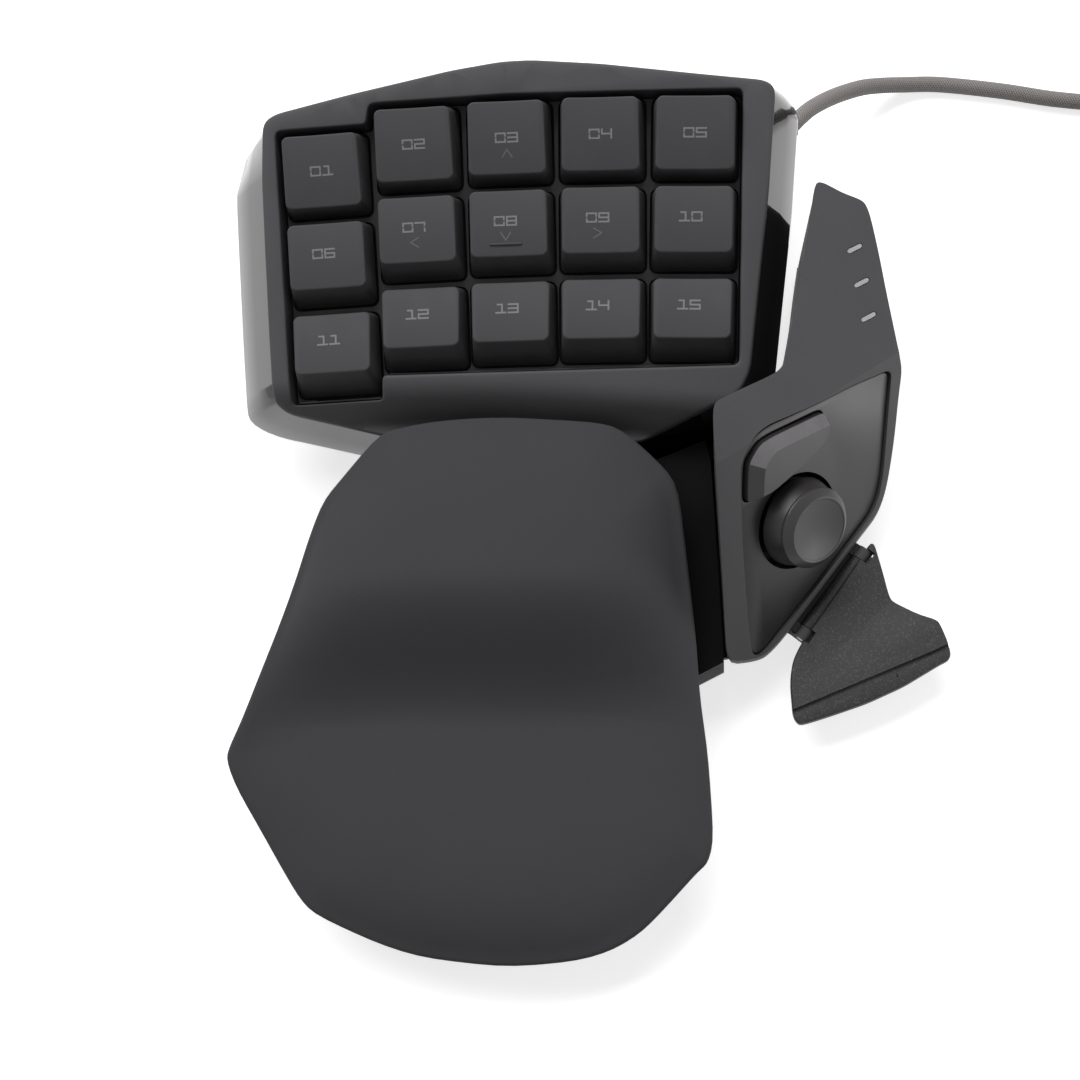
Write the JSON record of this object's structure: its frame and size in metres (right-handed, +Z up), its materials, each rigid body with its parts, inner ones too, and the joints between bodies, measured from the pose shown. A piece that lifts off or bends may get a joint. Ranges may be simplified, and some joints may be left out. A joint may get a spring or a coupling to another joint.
{
  "type": "gaming keypad",
  "caption": "Left-hand desk keypad with raked sculpted keys, a sliding palm rest, a thumb wing with stick, button and paddle, and a cord with a plug.",
  "frame": {"origin": "centre of the keypad's plan, without its cord, on the floor that its feet stand on", "axes": "+X to the user's right, +Y away from the user, +Z up"},
  "size_m": [0.319, 0.2074, 0.0498],
  "materials": {
    "keycap": "matt moulded, dark grey",
    "bezel_grey": "matt moulded, grey",
    "gloss_black": "high gloss",
    "soft_touch": "soft-touch coating",
    "panel_brown": "satin",
    "button_satin": "satin",
    "paddle_sparkle": "fine sparkle texture",
    "light_pipe": "milky, clear",
    "foot_rubber": "matt",
    "silicone": "milky, matt",
    "film": "clear polyester with printed tracks",
    "steel": "plain, zinc plated",
    "circuit_board": "green solder resist",
    "inner_black": "plain moulded",
    "braid": "braided sleeve"
  },
  "bodies": {
    "keypad": {"key_frame": "inner_black", "dome_sheet": "silicone", "membrane_circuit": "film", "backing_plate": "steel", "main_circuit_board": "circuit_board", "keypad_bezel": "bezel_grey", "keypad_housing": "gloss_black", "base_plate": "inner_black", "base_cover": "gloss_black", "case_screw_1": "steel", "case_screw_2": "steel", "case_screw_3": "steel", "case_screw_4": "steel", "foot_front_left": "foot_rubber", "foot_rear_left": "foot_rubber", "foot_rear_right": "foot_rubber", "foot_wing_front": "foot_rubber", "foot_wing_rear": "foot_rubber", "thumb_shell": "bezel_grey", "thumb_panel": "panel_brown", "indicator_light_pipe": "light_pipe", "thumb_button_switch": "inner_black", "thumb_circuit_board": "circuit_board", "stick_socket": "inner_black", "paddle_pin": "steel", "strain_relief": "foot_rubber", "cord_run": "braid", "cord_coil": "braid", "cord_tie": "inner_black", "plug_grip": "foot_rubber", "plug_shell": "steel"},
    "palm_rest": {"palm_cover": "soft_touch", "palm_tray": "inner_black", "palm_foot_left": "foot_rubber", "palm_foot_right": "foot_rubber"},
    "palm_latch": {"palm_latch_button": "inner_black"},
    "key_01": {"keycap_01": "keycap"},
    "key_02": {"keycap_02": "keycap"},
    "key_03": {"keycap_03": "keycap"},
    "key_04": {"keycap_04": "keycap"},
    "key_05": {"keycap_05": "keycap"},
    "key_06": {"keycap_06": "keycap"},
    "key_07": {"keycap_07": "keycap"},
    "key_08": {"keycap_08": "keycap"},
    "key_09": {"keycap_09": "keycap"},
    "key_10": {"keycap_10": "keycap"},
    "key_11": {"keycap_11": "keycap"},
    "key_12": {"keycap_12": "keycap"},
    "key_13": {"keycap_13": "keycap"},
    "key_14": {"keycap_14": "keycap"},
    "key_15": {"keycap_15": "keycap"},
    "thumb_button": {"thumb_button": "button_satin"},
    "stick_gimbal": {"stick_gimbal_ring": "inner_black"},
    "stick": {"stick_shaft": "inner_black", "thumbstick_cap": "button_satin"},
    "paddle": {"thumb_paddle": "paddle_sparkle"}
  },
  "joints": [
    {"name": "press_01", "type": "slide", "parent": "keypad", "child": "key_01", "axis": [0, 0.2588, -0.9659], "range_m": [0, 0.0035], "stiffness_N_per_m": 100, "springref_m": -0.004, "deforming": ["dome_sheet"]},
    {"name": "press_02", "type": "slide", "parent": "keypad", "child": "key_02", "axis": [0, 0.2588, -0.9659], "range_m": [0, 0.0035], "stiffness_N_per_m": 100, "springref_m": -0.004, "deforming": ["dome_sheet"]},
    {"name": "press_03", "type": "slide", "parent": "keypad", "child": "key_03", "axis": [0, 0.2588, -0.9659], "range_m": [0, 0.0035], "stiffness_N_per_m": 100, "springref_m": -0.004, "deforming": ["dome_sheet"]},
    {"name": "press_04", "type": "slide", "parent": "keypad", "child": "key_04", "axis": [0, 0.2588, -0.9659], "range_m": [0, 0.0035], "stiffness_N_per_m": 100, "springref_m": -0.004, "deforming": ["dome_sheet"]},
    {"name": "press_05", "type": "slide", "parent": "keypad", "child": "key_05", "axis": [0, 0.2588, -0.9659], "range_m": [0, 0.0035], "stiffness_N_per_m": 100, "springref_m": -0.004, "deforming": ["dome_sheet"]},
    {"name": "press_06", "type": "slide", "parent": "keypad", "child": "key_06", "axis": [0, 0.2588, -0.9659], "range_m": [0, 0.0035], "stiffness_N_per_m": 100, "springref_m": -0.004, "deforming": ["dome_sheet"]},
    {"name": "press_07", "type": "slide", "parent": "keypad", "child": "key_07", "axis": [0, 0.2588, -0.9659], "range_m": [0, 0.0035], "stiffness_N_per_m": 100, "springref_m": -0.004, "deforming": ["dome_sheet"]},
    {"name": "press_08", "type": "slide", "parent": "keypad", "child": "key_08", "axis": [0, 0.2588, -0.9659], "range_m": [0, 0.0035], "stiffness_N_per_m": 100, "springref_m": -0.004, "deforming": ["dome_sheet"]},
    {"name": "press_09", "type": "slide", "parent": "keypad", "child": "key_09", "axis": [0, 0.2588, -0.9659], "range_m": [0, 0.0035], "stiffness_N_per_m": 100, "springref_m": -0.004, "deforming": ["dome_sheet"]},
    {"name": "press_10", "type": "slide", "parent": "keypad", "child": "key_10", "axis": [0, 0.2588, -0.9659], "range_m": [0, 0.0035], "stiffness_N_per_m": 100, "springref_m": -0.004, "deforming": ["dome_sheet"]},
    {"name": "press_11", "type": "slide", "parent": "keypad", "child": "key_11", "axis": [0, 0.2588, -0.9659], "range_m": [0, 0.0035], "stiffness_N_per_m": 100, "springref_m": -0.004, "deforming": ["dome_sheet"]},
    {"name": "press_12", "type": "slide", "parent": "keypad", "child": "key_12", "axis": [0, 0.2588, -0.9659], "range_m": [0, 0.0035], "stiffness_N_per_m": 100, "springref_m": -0.004, "deforming": ["dome_sheet"]},
    {"name": "press_13", "type": "slide", "parent": "keypad", "child": "key_13", "axis": [0, 0.2588, -0.9659], "range_m": [0, 0.0035], "stiffness_N_per_m": 100, "springref_m": -0.004, "deforming": ["dome_sheet"]},
    {"name": "press_14", "type": "slide", "parent": "keypad", "child": "key_14", "axis": [0, 0.2588, -0.9659], "range_m": [0, 0.0035], "stiffness_N_per_m": 100, "springref_m": -0.004, "deforming": ["dome_sheet"]},
    {"name": "press_15", "type": "slide", "parent": "keypad", "child": "key_15", "axis": [0, 0.2588, -0.9659], "range_m": [0, 0.0035], "stiffness_N_per_m": 100, "springref_m": -0.004, "deforming": ["dome_sheet"]},
    {"name": "palm_slide", "type": "slide", "parent": "keypad", "child": "palm_rest", "axis": [0, -1, 0], "range_m": [0, 0.016]},
    {"name": "palm_latch_press", "type": "slide", "parent": "palm_rest", "child": "palm_latch", "axis": [0, 0, 1], "range_m": [0, 0.0015], "stiffness_N_per_m": 400, "springref_m": -0.002},
    {"name": "thumb_button_press", "type": "slide", "parent": "keypad", "child": "thumb_button", "axis": [-0.625, 0.4799, -0.6157], "range_m": [0, 0.001], "stiffness_N_per_m": 500, "springref_m": -0.002},
    {"name": "stick_forward_tilt", "type": "hinge", "parent": "keypad", "child": "stick_gimbal", "pos_m": [0.04161, -0.00294, 0.0207], "axis": [0.609, 0.7931, 0], "range_deg": [-8, 8], "stiffness_Nm_per_rad": 0.03},
    {"name": "stick_side_tilt", "type": "hinge", "parent": "stick_gimbal", "child": "stick", "pos_m": [0.04161, -0.00294, 0.0207], "axis": [-0.4883, 0.375, 0.788], "range_deg": [-8, 8], "stiffness_Nm_per_rad": 0.03},
    {"name": "paddle_press", "type": "hinge", "parent": "keypad", "child": "paddle", "pos_m": [0.05164, -0.01678, 0.0068], "axis": [0.609, 0.7931, 0], "range_deg": [0, 4], "stiffness_Nm_per_rad": 0.05, "springref_deg": -5.73}
  ]
}
